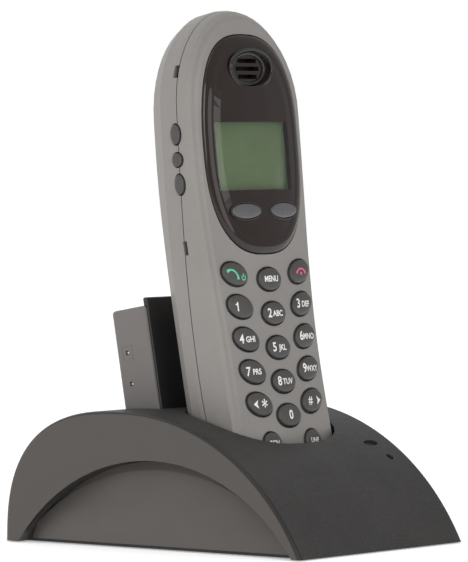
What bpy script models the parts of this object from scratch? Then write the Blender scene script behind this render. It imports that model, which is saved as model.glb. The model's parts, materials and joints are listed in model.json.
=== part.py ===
"""Cordless phone standing in a desktop charging base.

The front slot holds the handset and the rear slot holds a spare battery pack.
Frame: origin at the centre of the base's footprint, on the table. +Z is up, the
phone's face looks towards -Y, and +X is on the right of someone facing it.

Every size below is in millimetres; MM turns it into Blender's metres when a mesh
is made. A place on the handset is given as (x, t, s): x across, t forwards from the
middle of its thickness, and s along its gently bent spine, from its lower end.
"""
import math

import bmesh
import bpy
from mathutils import Matrix, Vector

MM = 0.001
GAP = 0.3                   # clearance between neighbouring solids

# ---- base: an arch seen from the side, straight across its width
BASE_WIDTH = 75.2
BASE_DEPTH = 103.0
BASE_HEIGHT = 37.75
HOUSING_BOTTOM = 0.3
APEX_Y = 9.0                # the crest is behind the middle
FRONT_REACH = APEX_Y + BASE_DEPTH / 2
REAR_REACH = BASE_DEPTH / 2 - APEX_Y
ARCH_RISE = BASE_HEIGHT - HOUSING_BOTTOM
FRONT_RADIUS = (FRONT_REACH ** 2 + ARCH_RISE ** 2) / (2 * ARCH_RISE)
REAR_POWER = 2.68           # superellipse exponent of the rear quarter
HOUSING_WALL = 2.3
EDGE_ROUND = 1.4
CAVITY_HALF_WIDTH = 31.2
RECESS_CENTRE = (-1.0, -34.3)
RECESS_RADIUS = 59.0
RECESS_DEPTH = 4.5
PLATE_BOTTOM = 1.2
PLATE_THICKNESS = 2.0
INSERT_BOTTOM = 3.8
LINER_HALF_WIDTH = 27.5
LINER_FRONT = -31.0
LINER_REAR = 26.5
PLATE_FRONT = -46.4
PLATE_REAR = 48.6
CHARGER_BOARD = ((-22.0, 28.5, 4.2), (22.0, 45.5, 5.6))
SLOT_HALF_WIDTH = 24.6      # handset's slot, in plan
SLOT_FRONT = 14.6
SLOT_REAR = 12.8
SLOT_POWER = 2.6
CONTACT_X = 8.0             # charging contacts, left and right
INLET_X = 15.0
INLET_Z = 10.1
INLET_BORE = 3.2
INLET_HALF = (5.0, 4.0)
INLET_SPAN = (38.5, 50.2)
FOOT_RADIUS = 4.0
FOOT_PLACES = ((-24, -32), (24, -32), (-24, 32), (24, 32))
SCREW_PLACES = ((-25.5, -40), (25.5, -40), (-25.5, 40), (25.5, 40))
BOSS_TOPS = {-40: 12.0, 40: 27.0}
LIGHTS = {                  # half size, and (x, y) on the front slope
    "status_light_handset": ((2.7, 1.0), (27.4, -27.0)),
    "status_light_spare": ((0.9, 0.9), (29.2, -32.4)),
}
Y_ALONG_Z = Matrix.Rotation(-math.pi / 2, 4, "X")

# ---- handset: a bent spine that leans back, most at its lower end
HANDSET_LENGTH = 140.0
SPINE_START = (-14.3, 9.0)  # y and z of its lower end
LEAN_START = math.radians(13.5)
BEND_RATE = math.radians(0.085)
SLIDE_LEAN = math.radians(12.5)
WIDEST_HALF = 25.5
WAIST_HALF = 22.2
WIDEST_S = 112.0
WAIST_S = 38.0
WAIST_BLEND = 67.0
BOTTOM_ROUND = 12.0
BOTTOM_POWER = 2.6          # superellipse exponent of the lower corners
SEAM_MIDDLE = 0.85          # the seam between the case halves is a slow wave
SEAM_SWING = 1.95
SEAM_CROSSING = 75.0
SEAM_HALF_WAVE = 70.0
FACE_HEIGHT = 10.9
FACE_TAPER = 0.0145
FACE_ROLL = 3.9             # how far the face rolls back at the very top
REAR_DEPTH = -11.5
REAR_TAPER = -0.003
FACE_CROWN = 170.0          # radius of the face across its width
SHELL = 1.6
FLANK_PROFILE = ((0.4, 1.7), (1.3, 0.85), (2.3, 0.75), (3.0, 0.0))  # inset, drop: shoulder to ridge
REAR_ROUND = 11.0
REAR_LIP = 1.5              # straight stretch between the seam and the rounding
OUTLINE_STEPS = 40
EARPIECE_S = 123.5
MICROPHONE_S = 7.5
LATCH_S = 92.6
RINGER_S = 106.0
RINGER_PITCH = 2.6
CHARGE_PAD_S = 1.5
CASE_SCREW_X = 13.0
CASE_SCREW_S = 118.0
CASE_SCREW_T = -10.2
BOARD_HALF = (18.5, 56.0, 0.5)
DISPLAY_HALF = (17.0, 12.0, 1.7)
DISPLAY_T = 3.9
DISPLAY_S = 98.9
AERIAL_HALF = (10.0, 3.0, 0.8)
SOUND_PARTS = {             # radius, half depth, t and s
    "earpiece_receiver": (6.5, 1.8, 2.8, EARPIECE_S),
    "microphone": (2.5, 1.2, 4.0, MICROPHONE_S),
    "ringer_speaker": (6.5, 1.8, -6.2, 108.6),
}

# ---- keys: place of each row, and the oval caps
KEY_TRAVEL = 0.5
KEY_DEPTH = 2.2             # how far a cap reaches below the face
KEY_HALF = (5.0, 3.1)
LOWER_HALF = (3.6, 3.1)     # the two lowest keys are rounder
KEY_CLEAR = 0.35
KEY_POINTS = 20
SIDE_KEY_S = 66.0
SIDE_KEY_PITCH = 9.2
SIDE_KEY_X = 14.5
SIDE_KEY_TAPER = 0.69
MID_KEY_S = 64.1
MID_KEY_PITCH = 9.65
KEY_TILT = math.radians(14)
KEY_ROWS = (
    ("key_talk", "key_menu", "key_end"),
    ("key_1", "key_2", "key_3"),
    ("key_4", "key_5", "key_6"),
    ("key_7", "key_8", "key_9"),
    ("key_star", "key_0", "key_hash"),
)
LOWER_KEYS = {"key_function": (-9.0, 17.9), "key_line": (9.0, 17.9)}
SOFT_KEYS = {"softkey_left": (-7.5, 83.4), "softkey_right": (9.3, 83.4)}
SOFT_HALF = (6.1, 2.1)
SIDE_BUTTONS = {
    "volume_up_button": (105.6, (1.6, 2.8)),
    "side_select_button": (98.6, (1.7, 1.9)),
    "volume_down_button": (91.8, (1.6, 2.8)),
}
SIDE_BUTTON_T = 2.0
SEAM_NOTCHES = ((0.9, 2.6, 121.2, 124.6), (0.5, 1.8, 72.4, 76.2))   # low t, high t, low s, high s
NOTCH_DEPTH = 2.5           # through the wall

# ---- window over the display
WINDOW_S = 102.2
WINDOW_HALF = (21.2, 30.8)
WINDOW_POWER = 2.6
WINDOW_POINTS = 60

# ---- battery packs
PACK_HALF_WIDTH = 19.0
PACK_SPAN = (16.3, 87.7)
PACK_FRONT_T = -3.4
SPARE_START = (11.1, 10.0)
SPARE_LEAN = math.radians(10.0)
SPARE_SIZE = (42.0, 12.2, 56.0)
SPARE_WALL = 1.5
SPARE_COVER_HALF = 20.0
SPARE_COVER_THICKNESS = 1.5
SPARE_COVER_PROUD = 0.2
SPARE_COVER_RISE = 2.2      # the cover stands higher than the shell
PIT_HEIGHTS = (35.2, 43.9)
PIT_HALF = 0.6
PIT_Y = 2.3
PIT_DEPTH = 0.8


# ------------------------------------------------------------------ small helpers
def collection(name):
    """A new collection, linked to the scene."""
    made = bpy.data.collections.new(name)
    bpy.context.scene.collection.children.link(made)
    return made


def plastic(name, colour, roughness=0.5, metallic=0.0):
    """A Principled material."""
    made = bpy.data.materials.new(name)
    made.use_nodes = True
    shader = made.node_tree.nodes["Principled BSDF"]
    shader.inputs["Base Color"].default_value = (*colour, 1.0)
    shader.inputs["Roughness"].default_value = roughness
    shader.inputs["Metallic"].default_value = metallic
    return made


def object_from(bm, name, home, material=None, parent=None, matrix=None):
    """Scale a millimetre bmesh to metres and make it an object, placed by matrix."""
    bmesh.ops.remove_doubles(bm, verts=bm.verts, dist=1e-5)
    bmesh.ops.recalc_face_normals(bm, faces=bm.faces)
    bmesh.ops.scale(bm, vec=(MM, MM, MM), verts=bm.verts)
    mesh = bpy.data.meshes.new(name)
    bm.to_mesh(mesh)
    bm.free()
    if material:
        mesh.materials.append(material)
    mesh.shade_smooth()
    mesh.set_sharp_from_angle(angle=math.radians(35))
    made = bpy.data.objects.new(name, mesh)
    home.objects.link(made)
    if parent:
        made.parent = parent
    if matrix:
        placed = matrix.copy()
        placed.translation *= MM
        made.matrix_basis = placed
    return made


def cutter_from(bm, name):
    """An object that only cuts: hidden in renders, drawn as wire."""
    made = object_from(bm, name, CUTTERS)
    made.hide_render = True
    made.display_type = "WIRE"
    return made


def combine(target, tool, operation):
    """Add an exact Boolean to target."""
    step = target.modifiers.new(operation.lower() + "_" + tool.name, "BOOLEAN")
    step.object = tool
    step.operation = operation
    step.solver = "EXACT"


def loft(bm, rings, closed=True):
    """Skin equal rings of points with quads, and cap the first and last ring."""
    grid = [[bm.verts.new(point) for point in ring] for ring in rings]
    span = len(rings[0]) if closed else len(rings[0]) - 1
    for low, high in zip(grid, grid[1:]):
        for i in range(span):
            j = (i + 1) % len(low)
            bm.faces.new((low[i], low[j], high[j], high[i]))
    if closed:
        bm.faces.new(list(reversed(grid[0])))
        bm.faces.new(grid[-1])
    return bm


def block(bm, low, high, matrix=None):
    """Add a box between two corners to bm."""
    size = [b - a for a, b in zip(low, high)]
    middle = [(a + b) / 2 for a, b in zip(low, high)]
    place = Matrix.Translation(middle) @ Matrix.Diagonal((*size, 1.0))
    bmesh.ops.create_cube(bm, size=1.0, matrix=(matrix or Matrix()) @ place)
    return bm


def centred_block(half):
    """A box around the origin."""
    return block(bmesh.new(), [-size for size in half], half)


def barrel(bm, radius, low, high, matrix=None, segments=20):
    """Add a cylinder along local Z to bm."""
    place = (matrix or Matrix()) @ Matrix.Translation((0, 0, (low + high) / 2))
    bmesh.ops.create_cone(bm, cap_ends=True, segments=segments, radius1=radius,
                          radius2=radius, depth=high - low, matrix=place)
    return bm


def oval(half_x, half_y, count, power=2.0):
    """Points of a superellipse, anticlockwise."""
    points = []
    for i in range(count):
        turn = 2 * math.pi * i / count
        cosine, sine = math.cos(turn), math.sin(turn)
        points.append((half_x * math.copysign(abs(cosine) ** (2 / power), cosine),
                       half_y * math.copysign(abs(sine) ** (2 / power), sine)))
    return points


def oval_stack(bm, half, levels, matrix=None, count=KEY_POINTS):
    """Add an oval solid whose outline is drawn in at each (inset, height) level."""
    place = matrix or Matrix()
    rings = []
    for inset, height in levels:
        outline = oval(half[0] - inset, half[1] - inset, count)
        rings.append([place @ Vector((x, y, height)) for x, y in outline])
    return loft(bm, rings)


def axes_matrix(origin, x_axis, y_axis, z_axis):
    """A placement from an origin and three unit axes."""
    rows = zip(x_axis, y_axis, z_axis, origin)
    return Matrix([list(row) for row in rows] + [[0, 0, 0, 1]])


def bevel(target, width, segments=2, angle=40):
    """Round the edges of target that are sharper than angle."""
    step = target.modifiers.new("rounded_edges", "BEVEL")
    step.width = width * MM
    step.segments = segments
    step.limit_method = "ANGLE"
    step.angle_limit = math.radians(angle)


# ------------------------------------------------------------------ handset frame
def lean(s):
    """Backward lean of the spine at s."""
    return LEAN_START - BEND_RATE * s


def spine(s):
    """y and z of the spine at s."""
    y = SPINE_START[0] + (math.cos(lean(s)) - math.cos(LEAN_START)) / BEND_RATE
    z = SPINE_START[1] + (math.sin(LEAN_START) - math.sin(lean(s))) / BEND_RATE
    return y, z


def handset_point(x, t, s):
    """A handset place in the object's frame."""
    y, z = spine(s)
    return Vector((x, y - t * math.cos(lean(s)), z + t * math.sin(lean(s))))


def smooth_step(value):
    """0 to 1 with level ends."""
    value = min(max(value, 0.0), 1.0)
    return value * value * (3 - 2 * value)


def half_width(s):
    """Half of the handset's width at the seam."""
    if s > WIDEST_S:
        rise = (s - WIDEST_S) / (HANDSET_LENGTH - WIDEST_S)
        return WIDEST_HALF * math.sqrt(max(0.0, 1 - rise * rise))
    width = WAIST_HALF + (WIDEST_HALF - WAIST_HALF) * smooth_step((s - WAIST_S) / WAIST_BLEND)
    if s < BOTTOM_ROUND:
        drop = ((BOTTOM_ROUND - s) / BOTTOM_ROUND) ** BOTTOM_POWER
        width *= max(0.0, 1 - drop) ** (1 / BOTTOM_POWER)
    return width


def seam_t(s):
    """The seam between the two case halves wanders along the side."""
    return SEAM_MIDDLE + SEAM_SWING * math.sin(math.pi * (s - SEAM_CROSSING) / SEAM_HALF_WAVE)


def face_t(x, s):
    """Height of the front face: crowned across, and rolled back near the top."""
    rolled = FACE_ROLL * max(0.0, (s - WIDEST_S) / (HANDSET_LENGTH - WIDEST_S)) ** 2
    return FACE_HEIGHT - FACE_TAPER * s - x * x / (2 * FACE_CROWN) - rolled


def rear_mid_t(s):
    """Depth of the flat middle of the back."""
    return REAR_DEPTH + REAR_TAPER * s


def rear_t(x, s):
    """Depth of the back at x, rounded towards the sides."""
    inset = min(REAR_ROUND, WIDEST_HALF * (1 - abs(x) / half_width(s)))
    turn = math.acos(1 - inset / REAR_ROUND)
    start = seam_t(s) - REAR_LIP
    return start + (rear_mid_t(s) - start) * math.sin(turn)


def outline_rows():
    """Half width and s from the lower end to the top, closer at both ends."""
    rows = []
    for k in range(OUTLINE_STEPS + 1):
        s = HANDSET_LENGTH / 2 * (1 - math.cos(math.pi * k / OUTLINE_STEPS))
        rows.append((half_width(s), s))
    return rows


def drawn_in(width, s, inset):
    """A point of the outline pulled towards the middle of the handset."""
    x = width * (1 - inset / WIDEST_HALF)
    middle = HANDSET_LENGTH / 2
    return x, middle + (s - middle) * (1 - inset / middle)


def case_surface(bm, columns, fractions):
    """Open surface of a case half, from seam to seam over the face or the back.

    columns gives (inset, height function) from the seam inwards, and fractions the
    further columns as shares of the last one's half width.
    """
    last_inset, last_height = columns[-1]
    rings = []
    for width, s in outline_rows():
        side = []
        for inset, height in columns:
            x, along = drawn_in(width, s, inset)
            side.append((x, height(x, along), along))
        edge_x, along = drawn_in(width, s, last_inset)
        for share in fractions:
            side.append((edge_x * share, last_height(edge_x * share, along), along))
        row = [(-x, t, along) for x, t, along in side]
        row += [(x, t, along) for x, t, along in reversed(side[:-1])]
        rings.append([handset_point(*point) for point in row])
    return loft(bm, rings, closed=False)


def face_seat(x, s, tilt=0.0):
    """Placement on the front face, local Z pointing out of it."""
    out = Matrix.Rotation(-lean(s), 3, "X") @ Matrix.Rotation(x / FACE_CROWN, 3, "Z") @ Vector((0, -1, 0))
    up = Matrix.Rotation(-lean(s), 3, "X") @ Vector((0, 0, 1))
    across = up.cross(out)
    turned = Matrix.Rotation(tilt, 3, out)
    return axes_matrix(handset_point(x, face_t(x, s), s), turned @ across, turned @ up, out)


def spine_seat(x, t, s):
    """Placement square to the spine, local Z forwards and local Y up."""
    out = Matrix.Rotation(-lean(s), 3, "X") @ Vector((0, -1, 0))
    up = Matrix.Rotation(-lean(s), 3, "X") @ Vector((0, 0, 1))
    return axes_matrix(handset_point(x, t, s), up.cross(out), up, out)


def side_seat(s):
    """Placement on the left flank at the seam, local Z pointing out of it."""
    forward = Matrix.Rotation(-lean(s), 3, "X") @ Vector((0, -1, 0))
    up = Matrix.Rotation(-lean(s), 3, "X") @ Vector((0, 0, 1))
    return axes_matrix(handset_point(-half_width(s), SIDE_BUTTON_T, s), forward, up, Vector((-1, 0, 0)))


HANDSET_FRAME = (Matrix.Translation((0, *SPINE_START)) @ Matrix.Rotation(-SLIDE_LEAN, 4, "X"))
SPARE_FRAME = (Matrix.Translation((0, *SPARE_START)) @ Matrix.Rotation(-SPARE_LEAN, 4, "X"))


def key_places():
    """Name, x, s and tilt of every keypad key."""
    places = []
    for row, names in enumerate(KEY_ROWS):
        x = SIDE_KEY_X - SIDE_KEY_TAPER * row
        side_s = SIDE_KEY_S - SIDE_KEY_PITCH * row
        places.append((names[0], -x, side_s, -KEY_TILT))
        places.append((names[1], 0.0, MID_KEY_S - MID_KEY_PITCH * row, 0.0))
        places.append((names[2], x, side_s, KEY_TILT))
    for name, (x, s) in LOWER_KEYS.items():
        places.append((name, x, s, math.copysign(KEY_TILT, x)))
    return places


def key_half(name):
    """Half width and half height of a keypad cap."""
    return LOWER_HALF if name in LOWER_KEYS else KEY_HALF


# ------------------------------------------------------------------ handset parts
def handset_mesh(bm, name, material, matrix=None):
    """Make a handset part from a bmesh drawn in the object's frame."""
    if matrix is None:
        bmesh.ops.transform(bm, matrix=HANDSET_FRAME.inverted(), verts=bm.verts)
        return object_from(bm, name, PARTS, material, HANDSET)
    return object_from(bm, name, PARTS, material, HANDSET, HANDSET_FRAME.inverted() @ matrix)


def window_loft(grow, levels):
    """Oval solid that follows the face; levels are (inset, height over the face)."""
    rings = []
    for inset, height in levels:
        outline = oval(WINDOW_HALF[0] + grow - inset, WINDOW_HALF[1] + grow - inset,
                       WINDOW_POINTS, WINDOW_POWER)
        rings.append([handset_point(x, face_t(x, WINDOW_S + s) + height, WINDOW_S + s)
                      for x, s in outline])
    return loft(bmesh.new(), rings)


def make_front_case(material):
    """Front half: rounded flank, soft valley, raised face, and every opening."""
    def below_face(drop):
        return lambda x, s: face_t(x, s) - drop

    shoulder = FLANK_PROFILE[0][1]
    columns = [(0.0, lambda x, s: seam_t(s) + GAP / 2),
               (0.1, lambda x, s: (seam_t(s) + face_t(x, s) - shoulder) / 2)]
    columns += [(inset, below_face(drop)) for inset, drop in FLANK_PROFILE]
    bm = case_surface(bmesh.new(), columns, (0.62, 0.3, 0.0))
    case = handset_mesh(bm, "handset_front_case", material)
    add_shell(case)
    holes = bmesh.new()
    for name, x, s, tilt in key_places():
        oval_stack(holes, key_half(name), ((-KEY_CLEAR, -5), (-KEY_CLEAR, 4)), face_seat(x, s, tilt))
    barrel(holes, 0.6, -5, 4, face_seat(0, MICROPHONE_S), segments=8)
    combine(case, cutter_from(holes, "key_holes"), "DIFFERENCE")
    opening = window_loft(GAP, ((0, -5), (0, 4)))
    combine(case, cutter_from(opening, "window_opening"), "DIFFERENCE")
    combine(case, SIDE_HOLES, "DIFFERENCE")


def add_shell(case):
    """Give an open case surface its wall, inwards."""
    step = case.modifiers.new("wall", "SOLIDIFY")
    step.thickness = SHELL * MM
    step.offset = -1.0
    step.use_even_offset = True


def make_rear_case(material):
    """Rear half: deeply rounded, with the battery bay, latch slot and ringer slots."""
    def rounded(turn):
        return lambda x, s: (seam_t(s) - REAR_LIP
                             + (rear_mid_t(s) - seam_t(s) + REAR_LIP) * math.sin(turn))

    turns = [math.radians(angle) for angle in (0, 22, 45, 68, 90)]
    columns = [(0.0, lambda x, s: seam_t(s) - GAP / 2)]
    columns += [(REAR_ROUND * (1 - math.cos(turn)), rounded(turn)) for turn in turns]
    case = handset_mesh(case_surface(bmesh.new(), columns, (0.5, 0.0)), "handset_rear_case", material)
    add_shell(case)
    bay = pack_loft(GAP, PACK_FRONT_T - 1.0, beyond=6.0)
    combine(case, cutter_from(bay, "battery_bay"), "DIFFERENCE")
    slots = bmesh.new()
    block(slots, (-5, -3.3, -3), (5, 4.7, 3), spine_seat(0, rear_mid_t(LATCH_S), LATCH_S))
    for row in range(3):
        block(slots, (-7, -0.6, -3), (7, 0.6, 3),
              spine_seat(0, rear_mid_t(RINGER_S), RINGER_S + RINGER_PITCH * row))
    for x in (-CONTACT_X, CONTACT_X):
        block(slots, (-1.8, -3, -1.8), (1.8, 3, 1.8), spine_seat(x, -3, CHARGE_PAD_S))
    for x in (-CASE_SCREW_X, CASE_SCREW_X):
        barrel(slots, 2.3, -4, 6, rear_screw_seat(x))
    combine(case, cutter_from(slots, "rear_slots"), "DIFFERENCE")
    combine(case, SIDE_HOLES, "DIFFERENCE")


def rear_screw_seat(x):
    """Placement of a case screw at the top of the back, local Z pointing out."""
    seat = spine_seat(x, CASE_SCREW_T, CASE_SCREW_S)
    return seat @ Matrix.Rotation(math.pi, 4, "Y")


def pack_loft(grow, front_t, beyond=0.0):
    """Battery pack whose back continues the case, or its bay when grown."""
    half = PACK_HALF_WIDTH + grow
    low, high = PACK_SPAN[0] - grow, PACK_SPAN[1] + grow
    rings = []
    for step in range(7):
        s = low + (high - low) * step / 6
        back = [(x, rear_t(x, s) - beyond, s) for x in (half, 13, 7, 0, -7, -13, -half)]
        ring = [(-half, front_t, s), (half, front_t, s)] + back
        rings.append([handset_point(*point) for point in ring])
    return loft(bmesh.new(), rings)


def make_side_holes():
    """Cutter for the three buttons that sit on the seam, and the two notches beside it."""
    bm = bmesh.new()
    for s, half in SIDE_BUTTONS.values():
        oval_stack(bm, half, ((-KEY_CLEAR, -6), (-KEY_CLEAR, 4)), side_seat(s), count=16)
    for low_t, high_t, low_s, high_s in SEAM_NOTCHES:
        middle = (low_s + high_s) / 2
        reach = (high_s - low_s) / 2
        seat = spine_seat(-half_width(middle), 0, middle)
        block(bm, (-2, -reach, low_t), (NOTCH_DEPTH, reach, high_t), seat)
    return cutter_from(bm, "side_holes")


def make_window(material):
    """Tinted window with the earpiece dish, its sound slots and the soft key holes."""
    levels = ((0.0, -2.0), (0.0, -0.1), (0.45, 0.35), (1.3, 0.6), (6.0, 0.9), (14.0, 1.0))
    window = handset_mesh(window_loft(0, levels), "display_window", material)
    dish = bmesh.new()
    oval_stack(dish, (8.9, 4.9), ((0, -0.4), (-0.6, 4)), face_seat(0, EARPIECE_S), count=24)
    combine(window, cutter_from(dish, "earpiece_dish"), "DIFFERENCE")
    holes = bmesh.new()
    for row in (-1, 0, 1):
        block(holes, (-5.2 + abs(row), -0.6 + 2.2 * row, -4), (5.2 - abs(row), 0.6 + 2.2 * row, 2),
              face_seat(0, EARPIECE_S))
    for x, s in SOFT_KEYS.values():
        oval_stack(holes, SOFT_HALF, ((-KEY_CLEAR, -5), (-KEY_CLEAR, 4)), face_seat(x, s))
    combine(window, cutter_from(holes, "window_holes"), "DIFFERENCE")


def make_keys(materials):
    """Keypad caps, soft keys and side buttons, each on its own seat."""
    cap = ((0, -KEY_DEPTH), (0, 0.35), (0.35, 0.75), (1.2, 1.0))
    for name, x, s, tilt in key_places():
        bm = oval_stack(bmesh.new(), key_half(name), cap)
        handset_mesh(bm, name, materials["key"], face_seat(x, s, tilt))
    soft = ((0, -KEY_DEPTH), (0, 1.0), (0.4, 1.4), (1.0, 1.55))
    for name, (x, s) in SOFT_KEYS.items():
        handset_mesh(oval_stack(bmesh.new(), SOFT_HALF, soft), name, materials["soft_key"], face_seat(x, s))
    side = ((0, -2.6), (0, 0.4), (0.35, 0.75), (0.9, 0.9))
    for name, (s, half) in SIDE_BUTTONS.items():
        bm = oval_stack(bmesh.new(), half, side, count=16)
        handset_mesh(bm, name, materials["key"], side_seat(s))


def make_handset_inside(materials):
    """Display, board, key sheet, sound parts, aerial, charge pads and screws."""
    handset_mesh(centred_block(BOARD_HALF), "handset_board", materials["board"],
                 spine_seat(0, 1.0, HANDSET_LENGTH / 2))
    handset_mesh(centred_block(DISPLAY_HALF), "display_module", materials["display"],
                 spine_seat(0, DISPLAY_T, DISPLAY_S))
    handset_mesh(key_sheet_loft(), "keypad_sheet", materials["rubber"])
    for name, (radius, half_depth, t, s) in SOUND_PARTS.items():
        can = barrel(bmesh.new(), radius, -half_depth, half_depth)
        handset_mesh(can, name, materials["metal"], spine_seat(0, t, s))
    handset_mesh(centred_block(AERIAL_HALF), "aerial", materials["brass"], spine_seat(0, -4.5, 129))
    for side, sign in (("left", -1), ("right", 1)):
        pad = block(bmesh.new(), (-1.5, -0.6, -1.5), (1.5, 2.5, 1.5))
        handset_mesh(pad, "charge_pad_" + side, materials["brass"],
                     spine_seat(sign * CONTACT_X, -3, CHARGE_PAD_S))
        handset_mesh(screw_profile(2.0, 1.0, 7.0), "case_screw_" + side, materials["steel"],
                     rear_screw_seat(sign * CASE_SCREW_X))


def key_sheet_loft():
    """Thin rubber sheet under the keys, following the face."""
    rings = []
    drop = KEY_DEPTH + KEY_TRAVEL + GAP
    for step in range(9):
        s = 12 + (86.2 - 12) * step / 8
        across = (-17.5, -9, 0, 9, 17.5)
        top = [(x, face_t(x, s) - drop, s) for x in across]
        below = [(x, face_t(x, s) - drop - 1.0, s) for x in reversed(across)]
        rings.append([handset_point(*point) for point in top + below])
    return loft(bmesh.new(), rings)


def screw_profile(head_radius, shank_radius, length):
    """Pan head screw along local Z, its head at the top."""
    rings = []
    profile = ((shank_radius * 0.6, -length), (shank_radius, -length + 0.7), (shank_radius, 0),
               (head_radius, 0), (head_radius, 0.5), (head_radius * 0.7, 0.8))
    for radius, height in profile:
        rings.append([(x, y, height) for x, y in oval(radius, radius, 14)])
    return loft(bmesh.new(), rings)


def make_handset_power(materials):
    """Battery pack in the back, and its latch."""
    pack = handset_mesh(pack_loft(0, PACK_FRONT_T), "handset_battery_pack", materials["case"])
    bevel(pack, 0.5, 1)
    latch = block(bmesh.new(), (-4.7, -3.0, -1.3), (4.7, 1.8, 0.9))
    part = handset_mesh(latch, "battery_latch", materials["case"],
                        spine_seat(0, rear_mid_t(LATCH_S), LATCH_S) @ Matrix.Rotation(math.pi, 4, "Y"))
    bevel(part, 0.2, 1)


# ------------------------------------------------------------------ base parts
def arch_outline(inset, bottom, steps=28):
    """Side outline of the base, from its front foot over the crest to its rear foot."""
    centre_z = BASE_HEIGHT - FRONT_RADIUS
    radius = FRONT_RADIUS - inset
    swing = math.acos((bottom - centre_z) / radius)
    points = []
    for i in range(steps):
        turn = swing * (1 - i / steps)
        points.append((APEX_Y - radius * math.sin(turn), centre_z + radius * math.cos(turn)))
    reach, height = REAR_REACH - inset, BASE_HEIGHT - inset
    lowest = math.asin((bottom / height) ** (REAR_POWER / 2))
    for i in range(steps + 1):
        turn = math.pi / 2 + (lowest - math.pi / 2) * i / steps
        points.append((APEX_Y + reach * math.cos(turn) ** (2 / REAR_POWER),
                       height * math.sin(turn) ** (2 / REAR_POWER)))
    return points


def arch_solid(levels, bottom):
    """Solid arch lofted across x; levels are (x, inset of the outline)."""
    rings = [[(x, y, z) for y, z in arch_outline(inset, bottom)] for x, inset in levels]
    return loft(bmesh.new(), rings)


def pocket_outline(count=32):
    """Plan of the handset's slot: bowed in front, squarer behind."""
    points = []
    for x, t in oval(SLOT_HALF_WIDTH, 1.0, count, SLOT_POWER):
        points.append((x, t * (SLOT_FRONT if t > 0 else SLOT_REAR)))
    return points


def handset_pocket(name):
    """Cutter for the handset's slot, along the way the handset slides."""
    rings = []
    for height in (-0.5, 50.0):
        rings.append([HANDSET_FRAME @ Vector((x, -t, height)) for x, t in pocket_outline()])
    return cutter_from(loft(bmesh.new(), rings), name)


def spare_pocket(name):
    """Cutter for the spare battery's slot."""
    width, depth, height = SPARE_SIZE
    low = (-width / 2 - 0.7, -depth / 2 - 0.7, -0.5)
    high = (width / 2 + 0.7, depth / 2 + 0.7, height)
    return cutter_from(block(bmesh.new(), low, high, SPARE_FRAME), name)


def arch_seat(x, y):
    """Placement on the front slope of the base, local Z pointing out."""
    centre = Vector((0, APEX_Y, BASE_HEIGHT - FRONT_RADIUS))
    z = centre.z + math.sqrt(FRONT_RADIUS ** 2 - (APEX_Y - y) ** 2)
    out = (Vector((0, y, z)) - centre).normalized()
    across = Vector((1, 0, 0))
    return axes_matrix((x, y, z), across, out.cross(across), out)


def make_housing(material):
    """Top housing: arch shell with side scoops, two slots, light holes and bosses."""
    half = BASE_WIDTH / 2
    rounded = []
    for degrees in (0, 22.5, 45, 67.5, 90):
        turn = math.radians(degrees)
        rounded.append((half - EDGE_ROUND * (1 - math.cos(turn)), EDGE_ROUND * (1 - math.sin(turn))))
    levels = [(-x, inset) for x, inset in rounded] + rounded[::-1]
    housing = object_from(arch_solid(levels, HOUSING_BOTTOM), "base_housing", PARTS, material)
    cavity = arch_solid(((-CAVITY_HALF_WIDTH, HOUSING_WALL), (CAVITY_HALF_WIDTH, HOUSING_WALL)), 0.1)
    combine(housing, cutter_from(cavity, "base_cavity"), "DIFFERENCE")
    bosses = bmesh.new()
    pilots = bmesh.new()
    for x, y in SCREW_PLACES:
        barrel(bosses, 3.0, PLATE_BOTTOM + PLATE_THICKNESS + GAP, BOSS_TOPS[y],
               Matrix.Translation((x, y, 0)), segments=16)
        barrel(pilots, 1.4, 2.0, 9.6, Matrix.Translation((x, y, 0)), segments=12)
    combine(housing, cutter_from(bosses, "screw_bosses"), "UNION")
    combine(housing, cutter_from(pilots, "screw_pilots"), "DIFFERENCE")
    combine(housing, cutter_from(side_scoops(), "side_scoops"), "DIFFERENCE")
    combine(housing, HANDSET_SLOT, "DIFFERENCE")
    combine(housing, SPARE_SLOT, "DIFFERENCE")
    small = bmesh.new()
    for half_size, place in LIGHTS.values():
        oval_stack(small, half_size, ((-GAP, -5), (-GAP, 3)), arch_seat(*place), count=16)
    reach_x, reach_z = INLET_HALF[0] + GAP, INLET_HALF[1] + GAP
    block(small, (INLET_X - reach_x, 40, INLET_Z - reach_z), (INLET_X + reach_x, 56, INLET_Z + reach_z))
    combine(housing, cutter_from(small, "light_and_inlet_holes"), "DIFFERENCE")


def side_scoops():
    """Arched recess in each side wall."""
    centre_y, centre_z = RECESS_CENTRE
    swing = math.acos((-4 - centre_z) / RECESS_RADIUS)
    outline = []
    for i in range(25):
        turn = swing * (1 - 2 * i / 24)
        outline.append((centre_y - RECESS_RADIUS * math.sin(turn),
                        centre_z + RECESS_RADIUS * math.cos(turn)))
    bm = bmesh.new()
    for side in (-1, 1):
        inner = side * (BASE_WIDTH / 2 - RECESS_DEPTH)
        outer = side * (BASE_WIDTH / 2 + 3)
        loft(bm, [[(x, y, z) for y, z in outline] for x in (inner, outer)])
    return bm


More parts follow.
